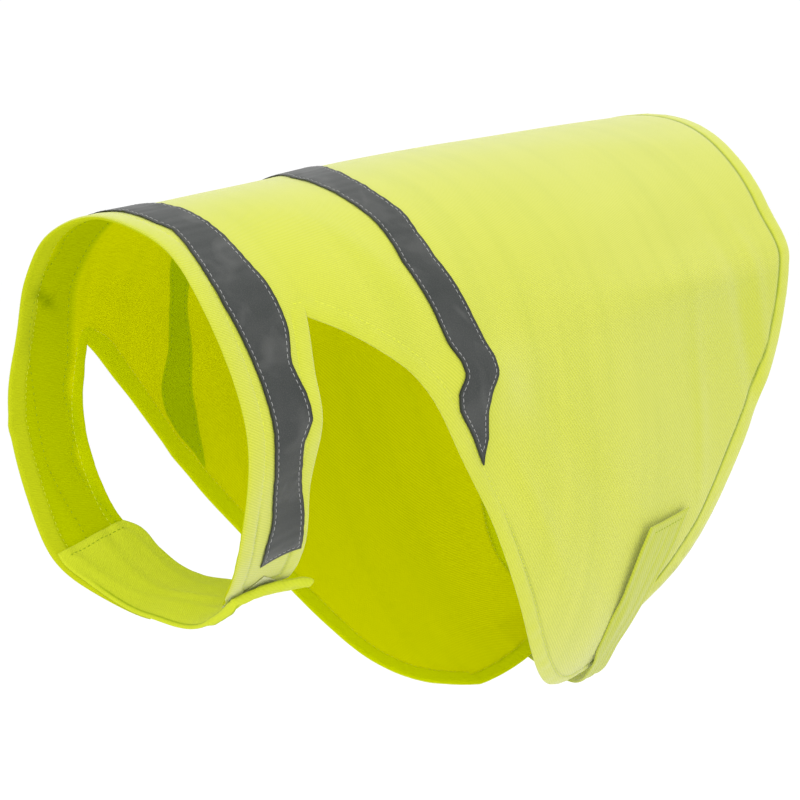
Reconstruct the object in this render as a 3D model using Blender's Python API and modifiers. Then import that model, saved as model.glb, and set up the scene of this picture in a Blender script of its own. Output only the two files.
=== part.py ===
"""Dog jacket: a hi-vis back panel with neck straps and side flaps, filled out as on a general figure.

Millimetres in the tables, metres in the meshes, +Z up. The neck opening faces -Y and the tail end +Y.
The origin is on the inner face of the back, on the spine line, where the wearer's back holds it up.
A place on the cloth is given as (y, turn): the station along the spine, and the angle round the figure
from the spine, 0 at the ridge, 90 at the side and 180 under the belly, positive on the +X side.
"""

from math import cos, exp, radians, sin

import bmesh
import bpy
from mathutils import Vector

MM = 0.001

# Driving dimensions, mm
CLOTH = 1.2  # wall of the back panel
DOUBLE_CLOTH = 1.6  # tab and strap, two layers sewn together
TAPE = 0.8
HOOK_AND_LOOP = 0.8  # each half of a closed pair
SEAM_GAP = 0.3  # between pieces that lie on each other
INSIDE_GAP = 0.5  # under the panel's inner face, where the facets of both are coarse
TAPE_MARGIN = 12.0  # of panel kept round a tape before its edges are cut
NOTCH_Y, NOTCH_TURN = -171.0, 70.0  # inner corner of the armhole
STRAP_END_TURN, TIP_TURN = 168.0, 164.0  # ends of the neck straps and of the side flaps
SADDLE_ROW, STRAP_ROW = 7.0, 4.9  # degrees round the figure between rows
NECK_COLUMN, BACK_COLUMN = 9.0, 17.0  # width of the columns along the spine, finer where the neck flares
FINE_ROW, STRIP_COLUMNS = 3.0, 4  # rows in degrees and columns of the tab, strap and fasteners
AXIS_HEIGHT = -120.0  # of the middle of the figure

# General figure: a row for each ring across the spine
#    y, ridge height, height of the widest place, underside height, half width, roundness (2 is an ellipse)
FIGURE = (
    (-225, -7, -103, -197, 77, 2.0),
    (-175, -6, -98, -191, 78, 2.0),
    (-145, -5, -98, -196, 86, 2.05),
    (-100, -3.5, -101, -244, 95, 2.1),
    (-60, -1.5, -104, -276, 98, 2.1),
    (10, 0, -107, -298, 102, 2.1),
    (70, 0, -106, -302, 102, 2.1),
    (140, 0, -103, -288, 102, 2.1),
    (225, -1, -94, -268, 103, 2.1),
)

# Cut edges round the figure: turn, y of the edge
NECK_EDGE = (
    (0, -223),
    (20, -224.5),
    (36, -222),
    (60, -226),
    (90, -223.5),
    (130, -224),
    (155, -216),
    (180, -212),
)
STRAP_REAR_EDGE = ((NOTCH_TURN, NOTCH_Y), (86, -176), (105, -179), (126, -178), (142, -172), (168, -160))
SADDLE_REAR_EDGE = ((0, 213), (25, 211), (50, 201), (70, 197))

# Side flap from the armhole notch down to its tip: armhole y, armhole turn, hem y, hem turn,
# and for the -X flap how many degrees lower its armhole edge hangs, and how much further back its hem lies
FLAP = (
    (NOTCH_Y, NOTCH_TURN, 197, 70, 0, 0),
    (-154, 77, 197, 83, 2, 0),
    (-122, 93, 193, 93, 6, 2),
    (-98, 109, 181, 103, 3, 5),
    (-76, 121, 161, 111, 0.5, 6),
    (-54, 133, 136, 120, 1.5, 13),
    (-32, 145, 108, 130, 5, 26),
    (-12, 154, 80, 137.5, 5, 47),
    (8, 161, 60, 147, 2.5, 65),
    (24, 164, 52, 161, 2, 69),
)

# Largest folds: side, y, turn, half length along the spine, half width round it in degrees, depth outward
FOLDS = (
    (1, -182, 97, 26, 9, 4.0),
    (1, -186, 118, 30, 10, -2.5),
    (1, -196, 60, 40, 14, 1.5),
    (1, -78, 94, 26, 7, 5.0),
    (1, -92, 108, 30, 10, -2.0),
    (1, 197, 88, 34, 10, 3.0),
    (1, 120, 104, 60, 12, -2.0),
    (1, 62, 150, 28, 14, -6.0),
    (-1, -224, 52, 24, 12, 1.5),
    (-1, -222, 93, 30, 13, 1.0),
    (-1, -215, 128, 30, 12, 3.0),
    (-1, -196, 75, 30, 10, -2.0),
    (-1, -84, 92, 30, 8, 3.5),
    (-1, 190, 86, 36, 11, 3.5),
    (-1, 110, 100, 60, 14, -2.5),
)

# Edges of the tapes, which wave as they are sewn, from the spine to an end: turn, front y, rear y
# Both halves of the neck tape are alike, and the back tape has a second half for the -X side
NECK_TAPE = (
    (0, -212, -188),
    (24, -212, -186),
    (30, -209, -186),
    (38, -211, -186),
    (48, -214, -186.5),
    (60, -215.5, -184),
    (72, -213, -184),
    (81, -210.5, -188),
    (90, -209, -185),
    (97, -209, -185.5),
    (102, -209, -190),
    (113, -207, -187),
    (123, -204.5, -182.5),
    (133, -205.5, -179),
    (140, -203, -175.5),
)
BACK_TAPE = (
    (0, -101, -76),
    (12, -107, -83),
    (24, -109, -86),
    (36, -109, -88.5),
    (44, -108, -87),
    (52, -108.5, -89),
    (60, -110, -89),
    (68, -108, -85.5),
    (76, -105.5, -82.5),
    (84, -103, -79),
    (92.5, -97, -76),
    (96, -102, -82.5),
    (99.5, -101, -84),
    (104, -93, -82.5),
    (107, -89, -84.5),
    (109, -86.5, -85.5),
)
FAR_BACK_TAPE = (
    (0, -101, -76),
    (8, -95, -71.5),
    (20, -100, -78),
    (35, -106, -85),
    (60, -107.5, -87.5),
    (94, -108, -88.5),
    (99, -101, -88.5),
    (104, -93, -88.5),
    (107, -89.5, -88.5),
)

# Chest tab, from inside the far strap's end to its free end on the near strap: turn, front y, rear y
# A turn beyond 180 has passed under the chest to the +X side
TAB = (
    (-127, -222, -179),
    (-130, -222, -174),
    (-142, -219, -171),
    (-153, -217, -170),
    (-163, -216, -167),
    (-173, -215, -160),
    (-186, -215, -153),
    (-206, -217, -149),
)
END_SKEW = -12.0  # degrees that the tab's and its fastener's free ends slant, front corner further
# Belly strap, from outside the far flap's tip to its free end on the near flap: turn, front y, rear y
STRAP = (
    (-150, 78, 118),
    (-165, 76, 116),
    (-180, 66, 104),
    (-192, 50, 87),
    (-202, 34, 70),
    (-212, 25, 60),
    (-225, 22, 58),
    (-232, 25, 66),
    (-238, 35, 78),
)
# The two fasteners, both halves alike, on the panel and on the tab or strap: turn, front y, rear y
CHEST_FASTENER = ((-193, -208, -166), (-204, -209, -166))
BELLY_FASTENER = ((-208, 32, 51), (-216, 27, 52), (-226, 26, 54), (-236, 37, 73))

COLOURS = {
    "cloth": (0.62, 0.78, 0.05, 1.0),
    "reflective_tape": (0.11, 0.12, 0.12, 1.0),
    "hook_and_loop": (0.56, 0.60, 0.30, 1.0),
}


def smooth(table, column, at):
    """Value of a table's column on a smooth curve through its rows, whose first column rises or falls."""
    keys = [row[0] for row in table]
    values = [row[column] for row in table]
    if keys[0] > keys[-1]:
        keys, values = keys[::-1], values[::-1]
    last = len(keys) - 2
    at = min(max(at, keys[0]), keys[-1])
    k = min(max(sum(key <= at for key in keys) - 1, 0), last)
    steps = [b - a for a, b in zip(keys, keys[1:])]
    slopes = [(b - a) / step for a, b, step in zip(values, values[1:], steps)]

    def tangent(i):
        if i in (0, last + 1):
            return slopes[min(i, last)]
        before, after = steps[i - 1], steps[i]
        return (slopes[i - 1] * after + slopes[i] * before) / (before + after)

    t = (at - keys[k]) / steps[k]
    rise = 3 * t * t - 2 * t**3
    return (
        (1 - rise) * values[k]
        + rise * values[k + 1]
        + (t**3 - 2 * t * t + t) * steps[k] * tangent(k)
        + (t**3 - t * t) * steps[k] * tangent(k + 1)
    )


def figure(y, turn):
    """Point of the general figure, mm."""
    ridge, widest, underside, half_width, roundness = (smooth(FIGURE, i, y) for i in range(1, 6))
    across, up = sin(radians(turn)), cos(radians(turn))
    reach = (abs(across) ** roundness + abs(up) ** roundness) ** (-1 / roundness)
    height = ridge - widest if up > 0 else widest - underside
    return Vector((half_width * reach * across, y, widest + height * reach * up))


def fold_depth(y, turn):
    """How far the folds lift the cloth off the figure, mm."""
    side = 1 if turn >= 0 else -1
    return sum(
        depth * exp(-(((y - fold_y) / length) ** 2) - ((abs(turn) - fold_turn) / width) ** 2)
        for fold_side, fold_y, fold_turn, length, width, depth in FOLDS
        if fold_side == side
    )


def on_cloth(y, turn, out=0.0):
    """Point in metres on the panel's inner face at (y, turn), moved out by some mm."""
    step_y, step_turn = 1.0, 1.0
    along = figure(y + step_y, turn) - figure(y - step_y, turn)
    around = figure(y, turn + step_turn) - figure(y, turn - step_turn)
    outward = around.cross(along).normalized()
    wrapped = turn + 360 if turn < -180 else turn
    return (figure(y, turn) + outward * (fold_depth(y, wrapped) + out)) * MM


def patch(body, rows, columns, place):
    """Adds a grid of cloth to a bmesh: place(row share, column share) gives each point's y, turn and lift."""
    spots = body.verts.layers.float_vector.get("spot") or body.verts.layers.float_vector.new("spot")
    grid = bmesh.ops.create_grid(body, x_segments=columns, y_segments=rows, size=1)
    for vertex in grid["verts"]:
        y, turn, out = place((vertex.co.y + 1) / 2, (vertex.co.x + 1) / 2)
        vertex.co = on_cloth(y, turn, out)
        vertex[spots] = (turn, y, 0)


def blend(start, end, share):
    return start + (end - start) * share


def ease(share):
    """0 to 1 with level ends."""
    share = min(max(share, 0.0), 1.0)
    return share * share * (3 - 2 * share)


def saddle_place(side):
    """Rows from the ridge to the notch, columns from the neck to the notch line or on to the rear hem."""

    def neck_part(row, column):
        turn = row * NOTCH_TURN
        return blend(smooth(NECK_EDGE, 1, turn), NOTCH_Y, column), side * turn, 0

    def back_part(row, column):
        turn = row * NOTCH_TURN
        return blend(NOTCH_Y, smooth(SADDLE_REAR_EDGE, 1, turn), column), side * turn, 0

    return neck_part, back_part


def strap_place(side):
    def place(row, column):
        turn = blend(NOTCH_TURN, STRAP_END_TURN, row)
        front, rear = smooth(NECK_EDGE, 1, turn), smooth(STRAP_REAR_EDGE, 1, turn)
        return blend(front, rear, column), side * turn, 0

    return place


def flap_place(side):
    steps = [(i, *row) for i, row in enumerate(FLAP)]

    def place(row, column):
        at = row * (len(FLAP) - 1)
        arm_y, arm_turn, hem_y, hem_turn, far_hang, far_reach = (smooth(steps, i, at) for i in range(1, 7))
        if side < 0:
            arm_turn += far_hang
            hem_y += far_reach
        return blend(arm_y, hem_y, column), side * blend(arm_turn, hem_turn, column), 0

    return place


def panel_surface():
    """The whole back panel's inner face as an open triangulated surface with its faces turned out."""
    body = bmesh.new()
    saddle_rows = round(NOTCH_TURN / SADDLE_ROW)
    strap_rows = round((STRAP_END_TURN - NOTCH_TURN) / STRAP_ROW)
    flap_rows = 2 * (len(FLAP) - 1)
    neck_columns = round((NOTCH_Y - NECK_EDGE[0][1]) / NECK_COLUMN)
    back_columns = round((SADDLE_REAR_EDGE[0][1] - NOTCH_Y) / BACK_COLUMN)
    for side in (1, -1):
        neck_part, back_part = saddle_place(side)
        patch(body, saddle_rows, neck_columns, neck_part)
        patch(body, saddle_rows, back_columns, back_part)
        patch(body, strap_rows, neck_columns, strap_place(side))
        patch(body, flap_rows, back_columns, flap_place(side))
    bmesh.ops.remove_doubles(body, verts=body.verts, dist=0.05 * MM)
    bmesh.ops.triangulate(body, faces=body.faces)
    turn_faces_out(body)
    return body


def turn_faces_out(body):
    """Open surfaces wrap the figure, so outward is away from its axis."""
    bmesh.ops.recalc_face_normals(body, faces=body.faces)
    lean = 0
    for face in body.faces:
        middle = face.calc_center_median()
        axis = Vector((0, middle.y, AXIS_HEIGHT * MM))
        lean += face.normal.dot(middle - axis) * face.calc_area()
    if lean < 0:
        bmesh.ops.reverse_faces(body, faces=body.faces)


def band_surface(table, out, skew=0.0):
    """A strip across the figure from a table of turn, front y and rear y; out(turn) lifts it, mm."""
    body = bmesh.new()
    first, last = table[0][0], table[-1][0]
    rows = max(2, round(abs(last - first) / FINE_ROW))

    def place(row, column):
        turn = blend(first, last, row)
        y = blend(smooth(table, 1, turn), smooth(table, 2, turn), column)
        return y, turn + skew * (0.5 - column) * row * row, out(turn)

    patch(body, rows, STRIP_COLUMNS, place)
    bmesh.ops.triangulate(body, faces=body.faces)
    turn_faces_out(body)
    return body


def cut_away(body, place, limit):
    """Removes the part of an open surface where place(turn, y) is over the limit.

    The surface is cut while spread out by its places on the cloth, then goes back to its form.
    """
    homes = body.verts.layers.float_vector.get("home") or body.verts.layers.float_vector.new("home")
    spots = body.verts.layers.float_vector["spot"]
    for vertex in body.verts:
        turn, y, _ = vertex[spots]
        vertex[homes] = vertex.co
        vertex.co = (place(turn, y), y, turn)
    geometry = body.verts[:] + body.edges[:] + body.faces[:]
    bmesh.ops.bisect_plane(body, geom=geometry, plane_co=(limit, 0, 0), plane_no=(1, 0, 0), clear_outer=True)
    for vertex in body.verts:
        vertex.co = vertex[homes]


def tape_surface(half, far_half):
    """A strip of the panel's own outer face between the edges of two halves, moved out to clear it."""
    table = [(-turn, front, rear) for turn, front, rear in reversed(far_half)] + list(half[1:])
    body = panel_surface()
    body.normal_update()
    lift = (CLOTH + SEAM_GAP) * MM
    moved = [(vertex, vertex.co + vertex.normal * lift) for vertex in body.verts]
    for vertex, place in moved:
        vertex.co = place
    first_turn, last_turn = table[0][0], table[-1][0]
    frontmost = min(row[1] for row in table)
    rearmost = max(row[2] for row in table)
    cut_away(body, lambda turn, y: -y, TAPE_MARGIN - frontmost)
    cut_away(body, lambda turn, y: y, TAPE_MARGIN + rearmost)
    cut_away(body, lambda turn, y: turn, last_turn + TAPE_MARGIN)
    cut_away(body, lambda turn, y: -turn, TAPE_MARGIN - first_turn)
    bmesh.ops.subdivide_edges(body, edges=body.edges, cuts=1, use_grid_fill=True)
    bmesh.ops.triangulate(body, faces=body.faces)
    cut_away(body, lambda turn, y: smooth(table, 1, turn) - y, 0)
    cut_away(body, lambda turn, y: y - smooth(table, 2, turn), 0)
    cut_away(body, lambda turn, y: turn, last_turn)
    cut_away(body, lambda turn, y: -turn, -first_turn)
    bmesh.ops.remove_doubles(body, verts=body.verts, dist=SEAM_GAP * MM)
    bmesh.ops.triangulate(body, faces=body.faces)
    return body


def material(name, roughness):
    made = bpy.data.materials.new(name)
    made.use_nodes = True
    shader = made.node_tree.nodes["Principled BSDF"]
    shader.inputs["Base Color"].default_value = COLOURS[name]
    shader.inputs["Roughness"].default_value = roughness
    shader.inputs["Metallic"].default_value = 0.0
    made.diffuse_color = COLOURS[name]
    return made


def thicken(name, body, thickness, finish, collection):
    """An object whose open surface a Solidify turns into a wall, outward."""
    mesh = bpy.data.meshes.new(name)
    body.to_mesh(mesh)
    body.free()
    mesh.materials.append(finish)
    mesh.shade_smooth()
    piece = bpy.data.objects.new(name, mesh)
    wall = piece.modifiers.new("Wall", "SOLIDIFY")
    wall.thickness = thickness * MM
    wall.offset = 1.0
    wall.use_even_offset = False
    collection.objects.link(piece)
    return piece


def under_to_over(under, over, leaves, lands):
    """Lift of a strip that leaves the inside of one side at one turn and lands outside the other."""

    def out(turn):
        return blend(under, over, ease((turn - leaves) / (lands - leaves)))

    return out


def main():
    for stale in list(bpy.data.objects):
        bpy.data.objects.remove(stale, do_unlink=True)
    jacket = bpy.data.collections.new("dog_jacket")
    bpy.context.scene.collection.children.link(jacket)
    cloth = material("cloth", 0.75)
    tape = material("reflective_tape", 0.45)
    fastener = material("hook_and_loop", 0.95)

    thicken("back_panel", panel_surface(), CLOTH, cloth, jacket)
    thicken("neck_tape", tape_surface(NECK_TAPE, NECK_TAPE), TAPE, tape, jacket)
    thicken("back_tape", tape_surface(BACK_TAPE, FAR_BACK_TAPE), TAPE, tape, jacket)

    loop_lift = CLOTH + SEAM_GAP
    hook_lift = loop_lift + HOOK_AND_LOOP + SEAM_GAP
    strip_lift = hook_lift + HOOK_AND_LOOP + SEAM_GAP
    sewn_lift = -INSIDE_GAP - DOUBLE_CLOTH
    tab_out = under_to_over(sewn_lift, strip_lift, -STRAP_END_TURN, -(360 - STRAP_END_TURN))
    thicken("chest_tab", band_surface(TAB, tab_out, END_SKEW), DOUBLE_CLOTH, cloth, jacket)
    strap_out = under_to_over(loop_lift, strip_lift, -TIP_TURN, -(360 - TIP_TURN))
    thicken("belly_strap", band_surface(STRAP, strap_out), DOUBLE_CLOTH, cloth, jacket)

    for name, table, lift, skew in (
        ("chest_loop", CHEST_FASTENER, loop_lift, END_SKEW),
        ("chest_hook", CHEST_FASTENER, hook_lift, END_SKEW),
        ("belly_loop", BELLY_FASTENER, loop_lift, 0.0),
        ("belly_hook", BELLY_FASTENER, hook_lift, 0.0),
    ):
        surface = band_surface(table, lambda turn, lift=lift: lift, skew)
        thicken(name, surface, HOOK_AND_LOOP, fastener, jacket)


main()
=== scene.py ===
"""Dog jacket, its looks: hi-vis cloth, reflective tape, tab, strap and sewing, filled out with no wearer.

Millimetres in the tables, metres in the meshes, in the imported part's frame: neck towards -Y, tail end
towards +Y, origin on the inner face of the back. A place on the cloth is (y, turn): the station along the
spine, and the angle round the figure from the spine, 90 at the side, positive on the +X side.
"""

from math import cos, radians, sin

import bpy
import numpy as np
from mathutils import Matrix, Vector
from mathutils.bvhtree import BVHTree
from mathutils.kdtree import KDTree


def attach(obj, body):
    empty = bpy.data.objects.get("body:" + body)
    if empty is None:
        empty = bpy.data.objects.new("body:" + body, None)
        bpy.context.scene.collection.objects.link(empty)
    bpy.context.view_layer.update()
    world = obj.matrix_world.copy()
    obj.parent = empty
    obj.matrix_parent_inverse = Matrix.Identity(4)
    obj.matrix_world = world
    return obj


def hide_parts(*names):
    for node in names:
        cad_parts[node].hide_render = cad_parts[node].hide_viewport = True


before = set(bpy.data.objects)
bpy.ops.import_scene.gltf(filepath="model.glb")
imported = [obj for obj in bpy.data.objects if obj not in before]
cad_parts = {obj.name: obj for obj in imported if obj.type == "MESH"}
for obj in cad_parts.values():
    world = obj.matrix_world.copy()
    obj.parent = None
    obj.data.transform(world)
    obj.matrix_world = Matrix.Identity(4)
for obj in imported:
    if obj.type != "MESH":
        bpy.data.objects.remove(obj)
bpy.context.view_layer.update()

MM = 0.001
CLOTH = 1.2  # wall of the panel, as in the solids
ARC = 1.75  # mm round the figure for a degree, about
HEM, NECK_HEM = 8.5, 10.0  # folded edges, from the edge to the stitch line
STEP = 3.1  # between points of the panel
FINE_STEP = 1.4  # between points of the small pieces
WELD = 0.001  # points of neighbouring patches this close are one point
HEMS_RUN = 25  # of a row, about, that the close steps of its two hems take
END_SHARE = 0.42  # of a row, at most, for the close steps at either end
EDGE_RADIUS = 0.9  # how far in a cut edge's rounding reaches
RIB_LEAN, RIB_PITCH, RIB_DEPTH = 35.0, 1.15, 0.05  # of the twill: degrees, mm, mm

# General figure: y, ridge height, height of the widest place, underside height, half width, roundness
FIGURE = (
    (-225, -7, -103, -197, 77, 2.0),
    (-175, -6, -98, -191, 78, 2.0),
    (-145, -5, -98, -196, 86, 2.05),
    (-100, -3.5, -101, -244, 95, 2.1),
    (-60, -1.5, -104, -276, 98, 2.1),
    (10, 0, -107, -298, 102, 2.1),
    (70, 0, -106, -302, 102, 2.1),
    (140, 0, -103, -288, 102, 2.1),
    (225, -1, -94, -268, 103, 2.1),
)

# Cut edges of the panel: turn, y of the edge
NOTCH_Y, NOTCH_TURN = -171.0, 70.0
STRAP_END_TURN, NEAR_STRAP_END = 168.0, 161.0  # of the -X and the +X neck strap
FAR_NECK_DIP = (58, 15, 6.0)  # turn, half width and depth of a dip in the -X neck edge
NEAR_END_TAPER = (147, 14, 9.0)  # the +X strap's front edge draws in: from this turn, within, by this much
FAR_ARM_HEM = 12.0  # fold along the -X flap's armhole edge
NECK_EDGE = (
    (0, -223),
    (20, -224.5),
    (36, -222),
    (60, -226),
    (90, -223.5),
    (130, -224),
    (155, -216),
    (180, -212),
)
STRAP_REAR_EDGE = ((NOTCH_TURN, NOTCH_Y), (86, -176), (105, -179), (126, -178), (142, -172), (168, -160))
SADDLE_REAR_EDGE = ((0, 213), (25, 211), (50, 201), (70, 197))

# Fold along the rear edge: turn, width
REAR_HEM = (
    (0, 9.5),
    (50, 11),
    (70, 11.5),
    (100, 10.5),
    (112, 12),
    (122, 14),
    (132, 13.5),
    (147, 10),
    (161, 8.5),
)

# Side flap from the armhole notch down to its tip: armhole y, armhole turn, hem y, hem turn,
# and for the -X flap how many degrees lower its armhole edge hangs, and how much further back its hem lies
FLAP = (
    (NOTCH_Y, NOTCH_TURN, 197, 70, 0, 0),
    (-154, 77, 197, 83, 2, 0),
    (-122, 93, 193, 93, 6, 2),
    (-98, 109, 181, 103, 3, 5),
    (-76, 121, 161, 111, 0.5, 6),
    (-54, 133, 136, 120, 1.5, 13),
    (-32, 145, 108, 130, 5, 26),
    (-12, 154, 80, 137.5, 5, 47),
    (8, 161, 60, 147, 2.5, 65),
    (24, 164, 52, 161, 2, 69),
)
FLAP_LENGTH = 262.0  # along the armhole edge

# Folds: side, y, turn, half length along the spine, half width in degrees, depth outward
FOLDS = (
    (1, -182, 97, 26, 9, 4.0),
    (1, -186, 118, 30, 10, -2.5),
    (1, -196, 60, 40, 14, 1.5),
    (1, -78, 94, 26, 7, 5.0),
    (1, -92, 108, 30, 10, -2.0),
    (1, 197, 88, 34, 10, 3.0),
    (1, 120, 104, 60, 12, -2.0),
    (1, 62, 150, 28, 14, -6.0),
    (-1, -224, 52, 24, 12, 1.5),
    (-1, -222, 93, 30, 13, 1.0),
    (-1, -215, 128, 30, 12, 3.0),
    (-1, -196, 75, 30, 10, -2.0),
    (-1, -84, 92, 30, 8, 3.5),
    (-1, 190, 86, 36, 11, 3.5),
    (-1, 110, 100, 60, 14, -2.5),
)

RIDGE_FADE = 12  # degrees from the spine within which a crease fades in
# Creases: side, y, turn, half length, half width, lean from the spine line in degrees, depth outward
CREASES = (
    (1, 105, 84, 95, 15, 1, 3.6),
    (1, 90, 96, 80, 10, -4, -0.7),
    (1, 97, 109, 6, 34, 0, 0.5),
    (1, 150, 104, 44, 7, 70, -0.9),
    (1, 164, 96, 40, 6, 76, 0.7),
    (1, 60, 128, 60, 9, 28, 0.6),
    (1, 20, 136, 46, 7, 36, -0.6),
    (1, -48, 116, 34, 5, 40, 0.8),
    (1, -30, 104, 60, 8, 30, -0.7),
    (1, -120, 62, 40, 7, 66, 0.7),
    (1, 120, 34, 80, 12, 10, 0.5),
    (1, 40, 60, 90, 14, -8, 0.6),
    (-1, -203, 48.5, 9, 3, -53, -1.7),
    (-1, -176, 40, 34, 4, 84, 1.3),
    (-1, -205, 104, 30, 5, 80, 0.9),
    (-1, -222, 87, 7, 4, 0, 1.2),
    (-1, -226, 58, 26, 26, 0, -3.5),
    (-1, -100, 100, 30, 6, -40, 1.0),
    (-1, 60, 92, 120, 10, 6, 0.9),
    (-1, 20, 120, 70, 9, -30, -0.9),
    (-1, 150, 110, 50, 8, -64, 0.8),
    (-1, -70, 70, 60, 8, 20, 0.7),
    (-1, 96, 142, 40, 8, -24, 0.8),
)

# Edges of the tapes, which wave as they are sewn, from the spine to an end: turn, front y, rear y
# Both halves of the neck tape are alike, and the back tape has a second half for the -X side
NECK_TAPE = (
    (0, -212, -188),
    (24, -212, -186),
    (30, -209, -186),
    (38, -211, -186),
    (48, -214, -186.5),
    (60, -215.5, -184),
    (72, -213, -184),
    (81, -210.5, -188),
    (90, -209, -185),
    (97, -209, -185.5),
    (102, -209, -190),
    (113, -207, -187),
    (123, -204.5, -182.5),
    (133, -205.5, -179),
    (140, -203, -175.5),
)
BACK_TAPE = (
    (0, -94, -68),
    (5, -99, -71),
    (12, -106, -78),
    (24, -109, -86),
    (36, -109, -88.5),
    (44, -108, -87),
    (52, -108.5, -89),
    (60, -110, -89),
    (68, -108, -85.5),
    (76, -105.5, -82.5),
    (84, -103, -79),
    (92.5, -97, -76),
    (96, -102, -82.5),
    (99.5, -101, -84),
    (104, -93, -82.5),
    (107, -89, -84.5),
    (109, -86.5, -85.5),
)
FAR_BACK_TAPE = (
    (0, -94, -68),
    (8, -86, -61),
    (20, -92, -69),
    (35, -103, -81),
    (47, -108, -88),
    (62, -99, -85),
    (78, -99, -80),
    (90, -107, -80),
    (95, -107, -81),
    (99, -102, -84),
    (103, -95, -86),
    (107, -89.5, -88.5),
)

# Chest tab, from inside the far strap's end to its free end on the near strap: turn, front y, rear y
# A turn beyond 180 has passed under the chest to the +X side
TAB = (
    (-127, -222, -179),
    (-130, -222, -174),
    (-142, -219, -171),
    (-153, -217, -170),
    (-163, -216, -167),
    (-173, -215, -160),
    (-186, -215, -153),
    (-206.5, -217, -149),
)
TAB_SKEW = -12.0  # degrees that the tab's free end slants, front corner further
# Belly strap, from outside the far flap's tip to its free end on the near flap: turn, front y, rear y
STRAP = (
    (-150, 78, 115),
    (-165, 76, 110),
    (-180, 66, 90),
    (-192, 52, 72),
    (-204, 39, 62),
    (-212, 32, 61),
    (-221, 30, 59),
    (-229, 30, 65),
    (-234, 34, 74),
    (-238, 40, 82),
)
# Halves of the two fasteners, on the panel and on the tab or strap; the tab's peeps out past its end
CHEST_LOOP = ((-194, -201, -167), (-201, -202, -167), (-205.5, -192, -169))
CHEST_HOOK = ((-195, -200, -169), (-200, -200, -170))
BELLY_LOOP = ((-210, 38, 56), (-220, 37, 54), (-229, 38, 58), (-236, 43, 74))
BELLY_HOOK = ((-211, 39, 55), (-220, 38, 53), (-229, 39, 57), (-235, 43, 73))

# ---- places on the cloth


def smooth(table, column, at):
    """Values of a table's column on a smooth curve through its rows, whose first column rises or falls."""
    rows = np.array(table, float)
    if rows[0, 0] > rows[-1, 0]:
        rows = rows[::-1]
    keys, values = rows[:, 0], rows[:, column]
    at = np.clip(at, keys[0], keys[-1])
    k = np.clip(np.searchsorted(keys, at, side="right") - 1, 0, len(keys) - 2)
    step = np.diff(keys)
    slope = np.diff(values) / step
    inner = (slope[:-1] * step[1:] + slope[1:] * step[:-1]) / (step[1:] + step[:-1])
    tangent = np.concatenate([slope[:1], inner, slope[-1:]])
    t = (at - keys[k]) / step[k]
    rise = 3 * t**2 - 2 * t**3
    start, end = (t**3 - 2 * t**2 + t) * tangent[k], (t**3 - t**2) * tangent[k + 1]
    return (1 - rise) * values[k] + rise * values[k + 1] + step[k] * (start + end)


def ease(share):
    """0 to 1 with level ends."""
    share = np.clip(share, 0, 1)
    return share * share * (3 - 2 * share)


def blend(start, end, share):
    return start + (end - start) * share


def unit(vectors):
    return vectors / np.maximum(np.linalg.norm(vectors, axis=-1, keepdims=True), 1e-12)


def figure(y, turn):
    """Points of the general figure, mm."""
    ridge, widest, underside, half_width, roundness = (smooth(FIGURE, i, y) for i in range(1, 6))
    across, up = np.sin(np.radians(turn)), np.cos(np.radians(turn))
    reach = (abs(across) ** roundness + abs(up) ** roundness) ** (-1 / roundness)
    height = np.where(up > 0, ridge - widest, widest - underside)
    return np.stack([half_width * reach * across, y + 0 * across, widest + height * reach * up], -1)


def hump(distance, half_width):
    """1 on a line, falling to 0 beside it."""
    return np.exp(-((distance / half_width) ** 2))


def mound(y, turn, at, at_turn, length, width, lean):
    """1 at a place on the cloth, falling to 0 around it, longest on a line that leans by some degrees."""
    along, across = y - at, (turn - at_turn) * ARC
    c, s = cos(radians(lean)), sin(radians(lean))
    return np.exp(-(((along * c + across * s) / length) ** 2) - ((across * c - along * s) / width) ** 2)


def relief(y, turn):
    """How far folds and creases lift the cloth off the figure, mm."""
    wrapped = np.where(turn < -180, turn + 360, turn)
    lift = np.zeros(np.shape(y))
    for side, at, at_turn, length, width, depth in FOLDS:
        swell = np.exp(-(((y - at) / length) ** 2) - ((side * wrapped - at_turn) / width) ** 2)
        lift += depth * swell * (side * wrapped >= 0)
    for side, *where, depth in CREASES:
        lift += depth * mound(y, side * wrapped, *where) * ease(side * wrapped / RIDGE_FADE)
    return lift


def outward(y, turn):
    along = figure(y + 1, turn) - figure(y - 1, turn)
    around = figure(y, turn + 1) - figure(y, turn - 1)
    return unit(np.cross(around, along))


def on_cloth(y, turn, out=0.0):
    """Points in metres on the panel's inner face at (y, turn), moved out by some mm."""
    y, turn, out = np.broadcast_arrays(np.asarray(y, float), turn, out)
    return (figure(y, turn) + outward(y, turn) * (relief(y, turn) + out)[..., None]) * MM


# ---- shells


def vertex_normals(points, faces):
    across = points[faces[:, 2]] - points[faces[:, 0]]
    other = points[faces[:, 3]] - points[faces[:, 1]]
    normals = np.zeros_like(points)
    for corner in faces.T:
        np.add.at(normals, corner, np.cross(across, other))
    return unit(normals)


def boundary_loop(faces):
    """The vertices round the open edge, in order."""
    edges = {(face[i], face[(i + 1) % 4]) for face in faces.tolist() for i in range(4)}
    following = {a: b for a, b in edges if (b, a) not in edges}
    start = min(following)
    loop = [start]
    while following[loop[-1]] != start:
        loop.append(following[loop[-1]])
    return np.array(loop)


def grid_faces(down, across):
    at = np.arange(down * across).reshape(down, across)
    return np.stack([at[:-1, :-1], at[:-1, 1:], at[1:, 1:], at[1:, :-1]], -1).reshape(-1, 4)


def tree_of(points):
    tree = KDTree(len(points))
    for i, p in enumerate(points):
        tree.insert(p, i)
    tree.balance()
    return tree


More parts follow.
